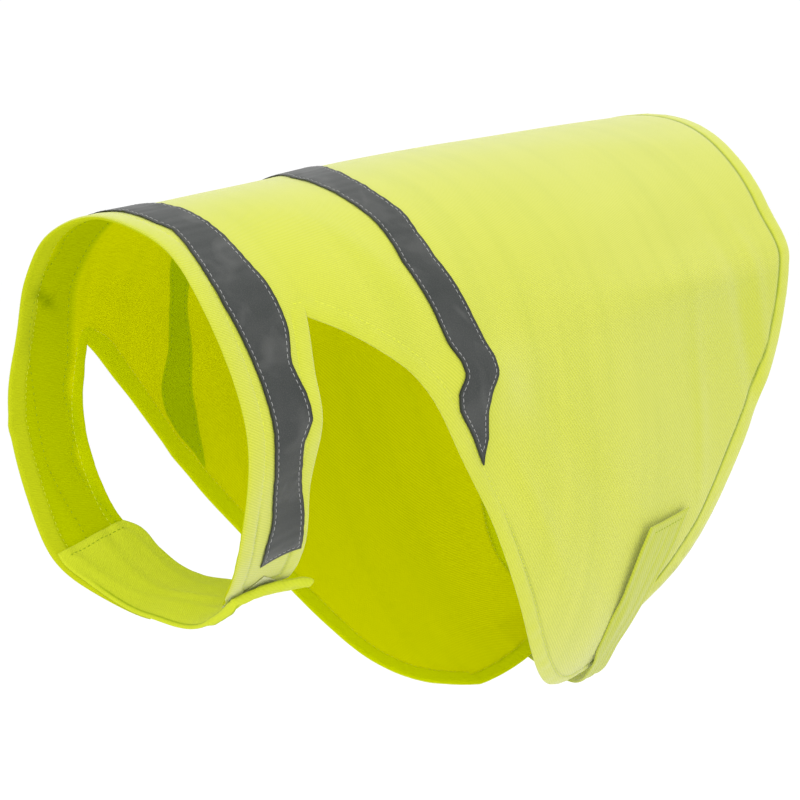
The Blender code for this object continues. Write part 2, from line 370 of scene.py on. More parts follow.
class Sheet:
    """An open surface half way through a cloth, that knows its distance from the edge and becomes a shell."""

    def __init__(self, points, faces, uv, hem=None):
        self.points, self.uv = points, uv
        centre = points.mean(0) * (1, 0, 1)
        middles = points[faces].mean(1)
        lean = (vertex_normals(points, faces)[faces[:, 0]] * (middles - centre) * (1, 0, 1)).sum()
        self.faces = faces if lean > 0 else faces[:, ::-1]
        self.normals = vertex_normals(points, self.faces)
        self.loop = boundary_loop(self.faces)
        line, quarters = points[self.loop], np.arange(4) / 4
        steps = np.roll(line, -1, 0) - line
        run = np.linalg.norm(steps, axis=1)
        along = np.concatenate([[0], np.cumsum(run)[:-1]]) / MM
        tree = tree_of((line[:, None] + steps[:, None] * quarters[:, None]).reshape(-1, 3))
        found = [tree.find(p) for p in points]
        nearest = np.array([index for _, index, _ in found])
        self.edge = np.array([distance for _, _, distance in found]) / MM
        self.edge[self.loop] = 0
        self.along = (along[:, None] + run[:, None] / MM * quarters).ravel()[nearest]
        self.hem = np.full(len(points), HEM) if hem is None else hem[self.loop][nearest // 4]

    def shell(self, name, over, under, finishes, marks=()):
        """A closed shell: over and under are mm from the middle at each point, none of it at the edge."""
        inner_of = np.full(len(self.points), -1)
        inside = np.setdiff1d(np.arange(len(self.points)), self.loop)
        inner_of[inside] = len(self.points) + np.arange(len(inside))
        inner_of[self.loop] = self.loop
        over, under = np.array(over), np.array(under)
        over[self.loop] = under[self.loop] = 0
        top = self.points + self.normals * over[:, None] * MM
        low = self.points - self.normals * under[:, None] * MM
        faces = np.concatenate([self.faces, inner_of[self.faces][:, ::-1]])
        mesh = mesh_of(name, np.concatenate([top, low[inside]]), faces, finishes)
        which = np.concatenate([np.arange(len(self.points)), inside])
        mesh.polygons.foreach_set("material_index", np.repeat([0, len(finishes) - 1], len(self.faces)))
        layer = mesh.uv_layers.new(name="Cloth")
        corner = np.zeros(len(mesh.loops), np.int32)
        mesh.loops.foreach_get("vertex_index", corner)
        layer.uv.foreach_set("vector", self.uv[which][corner].astype(np.float32).ravel())
        for mark, values in (("edge", self.edge), *marks):
            data = mesh.attributes.new(mark, "FLOAT", "POINT").data
            data.foreach_set("value", values[which].astype(np.float32))
        self.top = BVHTree.FromPolygons(top.tolist(), self.faces.tolist())
        self.low = BVHTree.FromPolygons(low.tolist(), self.faces[:, ::-1].tolist())
        return piece_of(name, mesh)

    def line_inside(self, offset, low=False, keep=None):
        """Points and normals of a line that many mm inside the cut edge, on the outer or the inner face.

        With keep(turn) only the stretch of the edge where it holds is followed. At a corner, places that
        lie clearly nearer to another stretch of the edge are left out.
        """
        nearly = 0.93
        line, normals = self.points[self.loop], self.normals[self.loop]
        inward = unit(np.cross(normals, np.roll(line, -1, 0) - np.roll(line, 1, 0)))
        offsets = np.broadcast_to(offset, len(line))
        order = np.arange(len(line))
        if keep is not None:
            kept = keep(self.uv[self.loop, 0] / MM / ARC)
            order = np.roll(order, -int(np.argmin(kept)))
            order = order[kept[order]]
        tree, face = tree_of(line), self.low if low else self.top
        found = []
        for start, way, wanted in zip(line[order], inward[order], offsets[order]):
            place, normal, _, _ = face.find_nearest(Vector(start + way * wanted * MM))
            if tree.find(place)[2] > wanted * MM * nearly:
                found.append((*place, *normal))
        found = np.array(found)
        return found[:, :3], found[:, 3:]


def mesh_of(name, points, faces, finishes):
    mesh = bpy.data.meshes.new(name)
    mesh.from_pydata(points.tolist(), [], faces.tolist())
    for finish in finishes:
        mesh.materials.append(finish)
    mesh.shade_smooth()
    return mesh


def piece_of(name, mesh):
    piece = bpy.data.objects.new(name, mesh)
    bpy.context.scene.collection.objects.link(piece)
    return piece


def hem_steps(width):
    """Distances from a cut edge, mm, a row for each width: close at the edge and at its stitch line."""
    width = np.atleast_1d(width)[:, None]
    edge = np.broadcast_to((0, 0.12, 0.4, 0.9, 2.2), (len(width), 5))
    return np.hstack([edge, width + np.array((-3.5, -1.6, -0.8, 0, 0.8, 2.2))])


def columns(lengths, first, last, middle):
    """Shares along rows of these lengths: first and last steps at the ends, the rest even between."""
    lengths = np.asarray(lengths, float)[:, None]
    first, last = np.atleast_2d(first), np.atleast_2d(last)
    start = first * np.minimum(1, END_SHARE * lengths / first[:, -1:])
    end = lengths - (last * np.minimum(1, END_SHARE * lengths / last[:, -1:]))[:, ::-1]
    share = np.linspace(0, 1, middle + 1)[1:-1]
    between = start[:, -1:] + share * (end[:, :1] - start[:, -1:])
    return np.concatenate([start, between, end], 1) / lengths


# ---- the panel


def panel_patches(side):
    """Grids of (y, turn) that make up one side of the panel, with the hems at either end of their rows."""
    neck_middle = round((NOTCH_Y - NECK_EDGE[0][1] - HEMS_RUN) / STEP)
    back_middle = round((SADDLE_REAR_EDGE[0][1] - NOTCH_Y - HEMS_RUN) / STEP)
    hem, neck_hem = hem_steps(HEM), hem_steps(NECK_HEM)

    def neck_edge(turn):
        at, width, depth = FAR_NECK_DIP
        start, within, taper = NEAR_END_TAPER
        dip = (side < 0) * depth * hump(turn - at, width)
        return smooth(NECK_EDGE, 1, turn) + dip + (side > 0) * taper * ease((turn - start) / within)

    turn = np.linspace(0, NOTCH_TURN, round(NOTCH_TURN * ARC / STEP) + 1)
    front, rear, rear_hem = neck_edge(turn), smooth(SADDLE_REAR_EDGE, 1, turn), smooth(REAR_HEM, 1, turn)
    share = columns(NOTCH_Y - front, neck_hem, hem, neck_middle)
    yield blend(front[:, None], NOTCH_Y, share), turn[:, None] + 0 * share, NECK_HEM, HEM
    share = columns(rear - NOTCH_Y, hem, hem_steps(rear_hem), back_middle)
    yield blend(NOTCH_Y, rear[:, None], share), turn[:, None] + 0 * share, HEM, rear_hem

    end_turn = NEAR_STRAP_END if side > 0 else STRAP_END_TURN
    strap_length = (end_turn - NOTCH_TURN) * ARC
    rows = columns([strap_length], np.array([0.0, STEP]), hem, round(strap_length / STEP))[0]
    turn = blend(NOTCH_TURN, end_turn, rows)
    front, rear = neck_edge(turn), smooth(STRAP_REAR_EDGE, 1, turn)
    share = columns(rear - front, neck_hem, hem, neck_middle)
    yield blend(front[:, None], rear[:, None], share), turn[:, None] + 0 * share, NECK_HEM, HEM

    rows = columns([FLAP_LENGTH], np.array([0.0, STEP]), hem, round(FLAP_LENGTH / STEP))[0]
    numbered = [(i, *row) for i, row in enumerate(FLAP)]
    at = rows * (len(FLAP) - 1)
    arm_y, arm_turn, hem_y, hem_turn, far_hang, far_reach = (smooth(numbered, i, at) for i in range(1, 7))
    if side < 0:
        arm_turn, hem_y = arm_turn + far_hang, hem_y + far_reach
    arm_hem = blend(HEM, FAR_ARM_HEM if side < 0 else HEM, ease(at))
    rear_hem = smooth(REAR_HEM, 1, hem_turn)
    lengths = np.hypot(hem_y - arm_y, (hem_turn - arm_turn) * ARC)
    share = columns(lengths, hem_steps(arm_hem), hem_steps(rear_hem), back_middle)
    y = blend(arm_y[:, None], hem_y[:, None], share)
    yield y, blend(arm_turn[:, None], hem_turn[:, None], share), arm_hem, rear_hem


def panel_sheet():
    """The whole panel's middle surface, its patches welded, and each point's (y, turn)."""
    points, faces, places, hems, count = [], [], [], [], 0
    for side in (1, -1):
        for y, turn, front_hem, rear_hem in panel_patches(side):
            patch = grid_faces(*y.shape)
            points.append(on_cloth(y.ravel(), side * turn.ravel(), CLOTH / 2))
            faces.append((patch if side > 0 else patch[:, ::-1]) + count)
            places.append(np.stack([y.ravel(), side * turn.ravel()], -1))
            hem = np.full(y.shape, HEM)
            hem[:, 0], hem[:, -1] = front_hem, rear_hem
            hems.append(hem.ravel())
            count += y.size
    points, faces, places, hems = (np.concatenate(x) for x in (points, faces, places, hems))
    cells = np.round(points / (WELD * MM))
    _, first, same = np.unique(cells, axis=0, return_index=True, return_inverse=True)
    places = places[first]
    uv = np.stack([places[:, 1] * ARC, places[:, 0]], -1) * MM
    return Sheet(points[first], same.reshape(-1)[faces], uv, hems[first]), places


def ripple(along, seed):
    """Uneven waves, mostly from -1 to 1, along a hem or seam, mm in."""
    shortest, longest, full_wave, count = 4.5, 23.0, 6.28, 7
    waves = np.random.default_rng(seed).uniform((shortest, 0), (longest, full_wave), (count, 2))
    return sum(np.sin(along / length * full_wave + phase) for length, phase in waves) / 3.2


def rounded(edge, half):
    """Half thickness near a cut edge, rounded like a fold."""
    return half * np.sqrt(np.clip(1 - (1 - np.clip(edge / EDGE_RADIUS, 0, 1)) ** 2, 0, 1))


HEM_PLUMP, HEM_UNEVEN = 0.4, 0.22  # how far a hem swells outward, and how much that varies
LINE_LOOSE, LINE_TIGHT, LINE_UNDER = 0.1, 0.32, 0.5  # depth of its stitch line: loose, more if tight, under
LINE_HALF = 0.75  # half width of that line
TURNED, TURNED_UNEVEN, TURNED_STEP = 0.75, 0.2, 0.9  # the layer turned under, and the slope it ends in


def hemmed(sheet, seed, tight):
    """Over and under thickness of a cloth whose edge is folded under and sewn, drawn in where tight."""
    edge, hem = sheet.edge, sheet.hem
    groove = hump(edge - hem, LINE_HALF)
    crown = np.sin(np.pi * np.clip(edge / hem, 0, 1)) ** 0.7
    uneven = ripple(sheet.along, seed)
    half = rounded(edge, CLOTH / 2)
    over = half + crown * (HEM_PLUMP + HEM_UNEVEN * uneven) - (LINE_LOOSE + LINE_TIGHT * tight) * groove
    layer = (1 - ease((edge - hem - 0.2) / TURNED_STEP)) * (TURNED + TURNED_UNEVEN * uneven)
    under = half + layer * ease(edge / 1.2) - LINE_UNDER * groove
    return over, under


# ---- strips: tapes, tab, strap, fasteners


def both_sides(half, far_half):
    """One table from the far end over the ridge to the near end."""
    return [(-turn, front, rear) for turn, front, rear in reversed(far_half)] + list(half[1:])


def sewn_edge(table, column, turn):
    """A tape's edge: nearly straight from row to row of its table, with the corners just rounded."""
    straightness = 0.6
    rows = np.array(table, float)
    straight = np.interp(turn, rows[:, 0], rows[:, column])
    return blend(smooth(table, column, turn), straight, straightness)


def strip_sheet(table, out, edge_steps, skew=0.0, edge_of=smooth):
    """A strip's middle surface from a table of turn, front and rear y; out(turn, y, share) lifts it, mm."""
    narrowest = 0.3  # where a strip ends in a point
    first, last = table[0][0], table[-1][0]
    length = abs(last - first) * ARC
    rows = columns([length], edge_steps, edge_steps, round(length / FINE_STEP))[0]
    turn = blend(first, last, rows)
    front, rear = edge_of(table, 1, turn), edge_of(table, 2, turn)
    middle = max(2, round((rear - front).max() / FINE_STEP))
    share = columns(np.maximum(rear - front, narrowest), edge_steps, edge_steps, middle)
    y = blend(front[:, None], rear[:, None], share)
    turns = turn[:, None] + skew * (0.5 - share) * (rows * rows)[:, None]
    points = on_cloth(y, turns, out(turns, y, share))
    uv = np.stack([turns.ravel() * ARC, y.ravel()], -1) * MM
    return Sheet(points.reshape(-1, 3), grid_faces(*y.shape), uv)


def under_to_over(under, over, leaves, lands):
    """Lift of a strip that leaves the inside of one side at one turn and lands outside the other."""
    return lambda turn: blend(under, over, ease((turn - leaves) / (lands - leaves)))


# ---- stitches


def resampled(points, normals, pitch, seed, closed=False):
    """Places about a pitch apart along a line, mm, with the direction and normal there."""
    uneven, look = 0.06, 0.35 * pitch * MM
    if closed:
        points, normals = np.vstack([points, points[:1]]), np.vstack([normals, normals[:1]])
    run = np.concatenate([[0], np.cumsum(np.linalg.norm(np.diff(points, axis=0), axis=1))])
    count = int(run[-1] / (pitch * MM))
    at = (np.arange(count) + 0.5 + np.random.default_rng(seed).uniform(-uneven, uneven, count)) * pitch * MM

    def read(values, where):
        return np.stack([np.interp(where, run, values[:, k]) for k in range(3)], -1)

    return read(points, at), unit(read(points, at + look) - read(points, at - look)), unit(read(normals, at))


def stitches(name, runs, length, width, rise, finish):
    """Thread lying on cloth: a short rounded bead for each stitch, its ends pulled in. All one piece."""
    stations = np.array((-0.5, -0.4, -0.15, 0.15, 0.4, 0.5))[:, None]
    girth = np.array((0.25, 0.8, 1.0, 1.0, 0.8, 0.25))[:, None, None]
    height = np.array((-0.9, 0.1, 0.55, 0.55, 0.1, -0.9))[:, None]
    sides = 6
    angle = 2 * np.pi * np.arange(sides)[:, None] / sides
    points, faces = [], []
    for places, ways, normals in runs:
        for place, way, normal, across in zip(places, ways, normals, unit(np.cross(normals, ways))):
            middles = place + (way * stations * length + normal * height * rise) * MM
            around = across * np.cos(angle) * width + normal * np.sin(angle) * rise
            first = len(points)
            points.extend((middles[:, None] + around * girth * 0.5 * MM).reshape(-1, 3).tolist())
            last = len(points) - sides
            for ring in range(first, last, sides):
                for a, b in zip(range(sides), (*range(1, sides), 0)):
                    faces.append((ring + a, ring + b, ring + b + sides, ring + a + sides))
            faces.append(tuple(reversed(range(first, first + sides))))
            faces.append(tuple(range(last, last + sides)))
    mesh = bpy.data.meshes.new(name)
    mesh.from_pydata(points, [], faces)
    mesh.materials.append(finish)
    mesh.shade_smooth()
    piece = piece_of(name, mesh)
    place_piece(piece)
    return piece


def place_piece(piece, nodes=()):
    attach(piece, "root")
    if nodes:
        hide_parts(*nodes)


# ---- materials


class Nodes:
    """Short way to wire a material."""

    def __init__(self, name):
        self.material = bpy.data.materials.new(name)
        self.material.use_nodes = True
        self.tree = self.material.node_tree
        self.tree.nodes.clear()

    def add(self, kind, inputs=None, **settings):
        node = self.tree.nodes.new("ShaderNode" + kind)
        for key, value in settings.items():
            setattr(node, key, value)
        for key, value in (inputs or {}).items():
            socket = node.inputs[key]
            if isinstance(value, bpy.types.NodeSocket):
                self.tree.links.new(value, socket)
            else:
                socket.default_value = value
        return node

    def mark(self, name):
        return self.add("Attribute", attribute_name=name).outputs["Fac"]

    def math(self, operation, *values):
        return self.add("Math", dict(enumerate(values)), operation=operation).outputs[0]

    def ramp(self, value, low, high, first=0.0, last=1.0):
        """From first to last as the value goes from low to high."""
        inputs = {"Value": value, "From Min": low, "From Max": high, "To Min": first, "To Max": last}
        return self.add("MapRange", inputs).outputs["Result"]

    def mix(self, share, first, second):
        """A colour between two."""
        return self.add("Mix", {0: share, 6: first, 7: second}, data_type="RGBA").outputs[2]

    def tint(self, colour, shade, strength, value, low, high):
        """The colour going over to a shade, at most by the strength, as the value goes from low to high."""
        return self.mix(self.math("MULTIPLY", self.ramp(value, low, high), strength), colour, shade)

    def cloth_uv(self):
        return self.add("UVMap", uv_map="Cloth").outputs["UV"]

    def place(self):
        return self.add("TexCoord").outputs["Object"]

    def noise(self, vector, scale, detail=2.0, **more):
        """A noise texture's value; more names its other inputs."""
        inputs = {"Vector": vector, "Scale": scale, "Detail": detail, **more}
        return self.add("TexNoise", inputs).outputs["Fac"]

    def bump(self, height):
        return self.add("Bump", {"Height": height, "Strength": 1.0, "Distance": 1.0}).outputs["Normal"]

    def finish(self, kind, inputs):
        """The material, with a shader of this kind as its surface."""
        self.add("OutputMaterial", {"Surface": self.add(kind, inputs).outputs[0]})
        return self.material


def rgb(red, green, blue):
    return (red, green, blue, 1.0)


FULL_WAVE = 6283.2  # radians a metre, of waves one mm long


def weave(nodes, lean):
    """Twill: ribs that lean, crossed by finer threads, both wavering a little. Returns (height, ribs)."""
    uv = nodes.cloth_uv()
    leaning = nodes.add("Mapping", {"Vector": uv, "Rotation": (0, 0, radians(lean))}).outputs["Vector"]
    split = nodes.add("SeparateXYZ", {"Vector": leaning})
    waver = nodes.math("MULTIPLY", nodes.noise(uv, 260.0), 1.6)

    def waves(axis, spacing):
        phase = nodes.math("MULTIPLY", split.outputs[axis], FULL_WAVE / spacing)
        return nodes.math("SINE", nodes.math("ADD", phase, waver))

    ribs, threads = waves("X", RIB_PITCH), waves("Y", RIB_PITCH * 0.55)
    height = nodes.math("ADD", nodes.math("MULTIPLY", ribs, 0.7), nodes.math("MULTIPLY", threads, 0.3))
    return nodes.math("MULTIPLY", height, RIB_DEPTH * MM), ribs


def cloth_material(name, light, deep, groove, painted_glow, through, sheen, lean=RIB_LEAN, rib_shade=0.5, layers=()):
    """Hi-vis polyester: twill, soft drift of colour, light passing through, and emission in its own colour:
    painted light, partly for the dye's fluorescence and partly to even out the shading and light the inside.

    Each layer is (mark, low, high, strength, colour): the mark's value brings its colour in.
    """
    nodes = Nodes(name)
    height, ribs = weave(nodes, lean)
    drift = nodes.noise(nodes.place(), 14.0, 3.0)
    drawn = nodes.add("Mapping", {"Vector": nodes.cloth_uv(), "Scale": (7.0, 60.0, 1.0)}).outputs["Vector"]
    streaks = nodes.noise(drawn, 1.0, 3.0)
    colour = nodes.mix(nodes.ramp(drift, 0.3, 0.7), light, deep)
    colour = nodes.tint(colour, groove, 0.25, streaks, 0.45, 0.75)
    # the twill's valleys take the groove colour: partly the weave's own pattern, partly painted shade in its
    # valleys
    colour = nodes.tint(colour, groove, rib_shade, ribs, 0.4, -1.0)
    for mark, low, high, strength, shade in layers:
        colour = nodes.tint(colour, shade, strength, nodes.mark(mark), low, high)
    bump = nodes.bump(height)
    surface = nodes.add(
        "BsdfPrincipled",
        {
            "Base Color": colour,
            "Roughness": 0.85,
            "Specular IOR Level": 0.4 * sheen,
            "Sheen Weight": sheen,
            "Sheen Roughness": 0.5,
            # painted light: emission in the cloth's own colour
            "Emission Color": colour,
            "Emission Strength": painted_glow,
            "Normal": bump,
        },
    )
    lit = nodes.add("BsdfTranslucent", {"Color": colour, "Normal": bump})
    return nodes.finish("MixShader", {0: through, 1: surface.outputs[0], 2: lit.outputs[0]})


def tape_material():
    """Grey glass-bead reflective tape on an olive backing that shows at its cut edges."""
    nodes = Nodes("reflective_tape")
    uv = nodes.cloth_uv()
    beads = nodes.noise(uv, 1700.0)
    smears = nodes.noise(uv, 38.0, 5.0, Roughness=0.62)
    # lighter patches at random over the tape
    lighter_patches = nodes.noise(uv, 55.0, Distortion=0.6)
    colour = nodes.mix(nodes.ramp(smears, 0.35, 0.68), rgb(0.022, 0.026, 0.024), rgb(0.038, 0.041, 0.039))
    colour = nodes.tint(colour, rgb(0.09, 0.092, 0.088), 0.7, lighter_patches, 0.5, 0.8)
    colour = nodes.tint(colour, rgb(0.10, 0.105, 0.10), 0.3, beads, 0.45, 0.75)
    colour = nodes.mix(nodes.ramp(nodes.mark("edge"), 1.25, 0.8), colour, rgb(0.014, 0.018, 0.005))
    bead_height = nodes.math("MULTIPLY", beads, 0.03 * MM)
    smear_height = nodes.math("MULTIPLY", smears, 0.35 * MM)
    return nodes.finish(
        "BsdfPrincipled",
        {
            "Base Color": colour,
            "Roughness": nodes.ramp(smears, 0.2, 0.8, 0.42, 0.6),
            "Specular IOR Level": 0.35,
            "Sheen Weight": 0.05,
            "Sheen Roughness": 0.35,
            "Normal": nodes.bump(nodes.math("ADD", bead_height, smear_height)),
        },
    )


def thread_material(name, pale, deep):
    """Twisted sewing thread."""
    nodes = Nodes(name)
    twist = nodes.noise(nodes.place(), 2600.0)
    colour = nodes.mix(nodes.ramp(twist, 0.35, 0.65), pale, deep)
    bump = nodes.add("Bump", {"Height": nodes.math("MULTIPLY", twist, 0.06 * MM)}).outputs["Normal"]
    inputs = {"Base Color": colour, "Roughness": 0.7, "Specular IOR Level": 0.15, "Normal": bump}
    return nodes.finish("BsdfPrincipled", inputs)


def pile_material(name, pale, deep, grain, depth):
    """Hook-and-loop: a fuzz of tiny loops or rows of hooks, its grain so many to the metre."""
    nodes = Nodes(name)
    uv = nodes.cloth_uv()
    cells = nodes.add("TexVoronoi", {"Vector": uv, "Scale": grain}).outputs["Distance"]
    fuzz = nodes.noise(uv, grain * 1.7, 4.0)
    colour = nodes.mix(nodes.ramp(cells, 0.1, 0.6), pale, deep)
    fuzz, dips = nodes.math("MULTIPLY", fuzz, depth), nodes.math("MULTIPLY", cells, depth)
    inputs = {"Base Color": colour, "Roughness": 0.9, "Sheen Weight": 0.4}
    inputs["Normal"] = nodes.bump(nodes.math("SUBTRACT", fuzz, dips))
    return nodes.finish("BsdfPrincipled", inputs)


# Layers of colour: mark, its values where the colour starts and is full, strength, colour
HEM_SHADE = ("fold", -0.3, 0.8, 0.6, rgb(0.60, 0.64, 0.02))
# painted shade in the groove of the hem's stitch line, strongest where the hem is tight
LINE_PAINTED_SHADE = ("line", 0.0, 1.0, 1.0, rgb(0.22, 0.29, 0.0))
# painted shade on the flanks below the long side crease
SIDE_PAINTED_SHADE = ("painted_shade_below_crease", 0.0, 1.0, 0.7, rgb(0.51, 0.56, 0.012))
# painted shade between the layers of the tab's front edge
TAB_PAINTED_SHADE = ("line", 0.0, 1.0, 0.85, rgb(0.30, 0.40, 0.0))
INSIDE_LAYERS = (
    # painted shadows of the neck and back tapes, seen through the cloth from inside; in the -X strap the neck
    # tape's reaches forward to the hem
    ("neck_tape", -4.0, 0.5, 0.65, rgb(0.38, 0.47, 0.0)),
    ("back_tape", -0.4, 0.4, 0.85, rgb(0.36, 0.48, 0.0)),
    # painted shade inside the hems, where the doubled cloth lets less light through
    ("painted_hem_shade_inside", -0.4, 0.8, 0.5, rgb(0.46, 0.56, 0.0)),
    ("neck_fold", -0.4, 0.8, 0.8, rgb(0.50, 0.56, 0.015)),
    # painted shade in the stitch line's groove, on the inside
    ("line", 0.0, 1.0, 0.5, rgb(0.28, 0.36, 0.0)),
    # painted shade of a small pinch on the inside of the -X strap
    ("painted_pinch_shade", 0.0, 1.0, 1.0, rgb(0.24, 0.31, 0.0)),
)
outer_cloth = cloth_material(
    "hi_vis_cloth",
    light=rgb(0.62, 0.645, 0.055),
    deep=rgb(0.60, 0.63, 0.045),
    groove=rgb(0.43, 0.50, 0.009),
    painted_glow=0.06,
    through=0.22,
    sheen=0.65,
    layers=(SIDE_PAINTED_SHADE, HEM_SHADE, LINE_PAINTED_SHADE),
)
strap_cloth = cloth_material(
    "hi_vis_strap",
    light=rgb(0.53, 0.575, 0.045),
    deep=rgb(0.50, 0.55, 0.037),
    groove=rgb(0.37, 0.44, 0.015),
    painted_glow=0.05,
    through=0.15,
    sheen=0.4,
)
tab_cloth = cloth_material(
    "hi_vis_tab",
    light=rgb(0.65, 0.71, 0.037),
    deep=rgb(0.61, 0.68, 0.027),
    groove=rgb(0.47, 0.56, 0.005),
    painted_glow=0.06,
    through=0.2,
    sheen=0.1,
    rib_shade=0.2,
    layers=(TAB_PAINTED_SHADE,),
)
# The inside: a colour with no blue and strong emission, painted light that stands in for daylight coming
# through the cloth
inner_cloth = cloth_material(
    "hi_vis_cloth_inside",
    light=rgb(0.63, 0.64, 0.0),
    deep=rgb(0.63, 0.64, 0.0),
    groove=rgb(0.51, 0.55, 0.0),
    painted_glow=0.34,
    through=0.38,
    sheen=0.0,
    lean=-0.8 * RIB_LEAN,
    layers=INSIDE_LAYERS,
)
tape_finish = tape_material()
grey_thread = thread_material("grey_thread", rgb(0.42, 0.42, 0.41), rgb(0.30, 0.30, 0.29))
lime_thread = thread_material("lime_thread", rgb(0.74, 0.78, 0.07), rgb(0.64, 0.70, 0.04))
dark_thread = thread_material("dark_lime_thread", rgb(0.36, 0.46, 0.01), rgb(0.26, 0.36, 0.006))
loop_finish = pile_material("loop_pile", rgb(0.60, 0.63, 0.28), rgb(0.44, 0.47, 0.18), 900.0, 0.4 * MM)
hook_finish = pile_material("hook_rows", rgb(0.60, 0.62, 0.36), rgb(0.40, 0.43, 0.22), 640.0, 0.3 * MM)

# ---- the panel's marks, for its layers of colour

NECK_TABLE, BACK_TABLE = both_sides(NECK_TAPE, NECK_TAPE), both_sides(BACK_TAPE, FAR_BACK_TAPE)
MARK_REACH = 6.0  # a mark that is a distance goes no further than this on either side of its line
REAR_LINE = 40  # y behind which the hem's stitch line is tight and dark
LOOSEST, REAR_RUN = 0.04, 40  # how tight it is in front, and the stretch of y in which it gets tight
LOW_TIGHT, LOW_TURN, LOW_RUN = 0.45, 112, 10  # how tight along the armholes' lower edges, turn from, within
# where the pinch's painted shade lies:
DENT = (-205, -50, 11, 2.6, -45)  # pinch in the -X strap: y, turn, half length, half width, lean in degrees
DENT_STRENGTH = 0.9
SHADE_Y, SHADE_TURN = -200, -60  # ahead of this y and beyond this turn the neck tape's shade reaches the hem
# Painted shade on the flank below the long side crease, where the cloth turns down away from the light: where
# that runs, how many mm the shade takes to start and to fade, with what is left of it, and the y from which
# it comes in, and within what
CREASE_TURN, CREASE_Y, CREASE_RUN = 82, 90, 6 / 95
FLANK_EARLY, FLANK_START, FLANK_FADE, FLANK_LEFT = 2, 9, 60, 0.45
FLANK_FRONT, FLANK_RUN = -40, 190


def near(distance):
    return np.clip(distance, -MARK_REACH, MARK_REACH)


def inside_tape(places, table):
    """How far a place lies inside a tape's edges, mm, less than 0 outside them."""
    y, turn = places.T
    front, rear = sewn_edge(table, 1, turn), sewn_edge(table, 2, turn)
    ends = np.minimum(turn - table[0][0], table[-1][0] - turn) * ARC
    return near(np.minimum(np.minimum(y - front, rear - y), ends))


def hem_tightness(y, turn):
    """How tightly the hem is sewn, 0 to 1: hardly at the neck, more below the armholes, all at the rear."""
    rear = (1 - LOOSEST) * ease((y - REAR_LINE + REAR_RUN / 2) / REAR_RUN)
    low = LOW_TIGHT * ease((turn - LOW_TURN) / LOW_RUN) * (y < REAR_LINE)
    return np.clip(LOOSEST + rear + low, 0, 1)


# Strength of the painted shade below the long side crease: darker and more saturated, fading out towards the
# front
def painted_flank_shade(y, turn):
    below = (turn - CREASE_TURN - CREASE_RUN * (y - CREASE_Y)) * ARC
    fading = FLANK_LEFT + (1 - FLANK_LEFT) * hump(below, FLANK_FADE)
    return ease((below + FLANK_EARLY) / FLANK_START) * fading * ease((y - FLANK_FRONT) / FLANK_RUN)


def panel_marks(sheet, places, tight):
    """What the cloth's layers of colour read at each point of the panel."""
    y, turn = places.T
    in_hem = near(sheet.hem - sheet.edge)
    at_neck = (abs(sheet.hem - NECK_HEM) < 0.05) & (y < NOTCH_Y)
    _, low, high, _, _ = HEM_SHADE
    most = (high - low) * (0.3 + 0.7 * tight) + low
    neck_tape_shade = inside_tape(places, NECK_TABLE)
    ahead = (y < SHADE_Y) & (turn < SHADE_TURN)
    past_hem = near(sheet.edge - sheet.hem) * 2
    return [
        ("fold", np.where(at_neck, -MARK_REACH, np.minimum(in_hem, most))),
        # painted shade of the doubled hems on the inside
        ("painted_hem_shade_inside", np.where(at_neck, -MARK_REACH, in_hem)),
        ("neck_fold", np.where(at_neck, in_hem, -MARK_REACH)),
        # painted shade along the hem's stitch groove, as strong as the hem is tight
        ("line", tight * hump(sheet.edge - sheet.hem, 0.8)),
        ("painted_shade_below_crease", painted_flank_shade(y, abs(turn))),
        ("painted_pinch_shade", DENT_STRENGTH * mound(y, turn, *DENT)),
        # painted shadows of the tapes, cast through the cloth
        ("neck_tape", np.where(ahead, np.maximum(neck_tape_shade, past_hem), neck_tape_shade)),
        ("back_tape", inside_tape(places, BACK_TABLE)),
    ]


# ---- make the panel and its tapes

panel, panel_places = panel_sheet()
tightness = hem_tightness(panel_places[:, 0], abs(panel_places[:, 1]))
jacket_panel = panel.shell(
    "jacket_panel",
    *hemmed(panel, 3, tightness),
    (outer_cloth, inner_cloth),
    panel_marks(panel, panel_places, tightness),
)
place_piece(jacket_panel, ["back_panel"])

TAPE_EDGE_STEPS = np.array((0, 0.1, 0.3, 0.7, 1.3, 1.9, 2.5, 3.2))
TAPE_HALF, TAPE_LIFT = 0.3, CLOTH + 0.62  # half its thickness, and its middle above the cloth's inner face
TAPE_STITCH, TAPE_GROOVE, TAPE_GROOVE_HALF = 2.3, 0.16, 0.6  # stitches from its edge; their groove
TAPE_PUCKER = 0.35


def tape_out(turn, y, share):
    """Tape lies on the cloth, puckered most where it is sewn."""
    pucker = ripple(turn * ARC, 11) * (0.2 + 0.5 * abs(share - 0.5))
    return TAPE_LIFT + TAPE_PUCKER * pucker


def tape_piece(name, table, node):
    sheet = strip_sheet(table, tape_out, TAPE_EDGE_STEPS, edge_of=sewn_edge)
    half = rounded(sheet.edge, TAPE_HALF)
    over = half - TAPE_GROOVE * hump(sheet.edge - TAPE_STITCH, TAPE_GROOVE_HALF)
    piece = sheet.shell(name, over, half, (tape_finish,))
    place_piece(piece, [node])
    line = resampled(*sheet.line_inside(TAPE_STITCH), pitch=3.0, seed=5)
    sewing = name + "_stitches"
    return piece, stitches(sewing, [line], 2.25, 0.36, 0.26, grey_thread)


neck_tape, neck_sewing = tape_piece("neck_reflective_tape", NECK_TABLE, "neck_tape")
back_tape, back_sewing = tape_piece("back_reflective_tape", BACK_TABLE, "back_tape")

# ---- make the tab, strap and fasteners

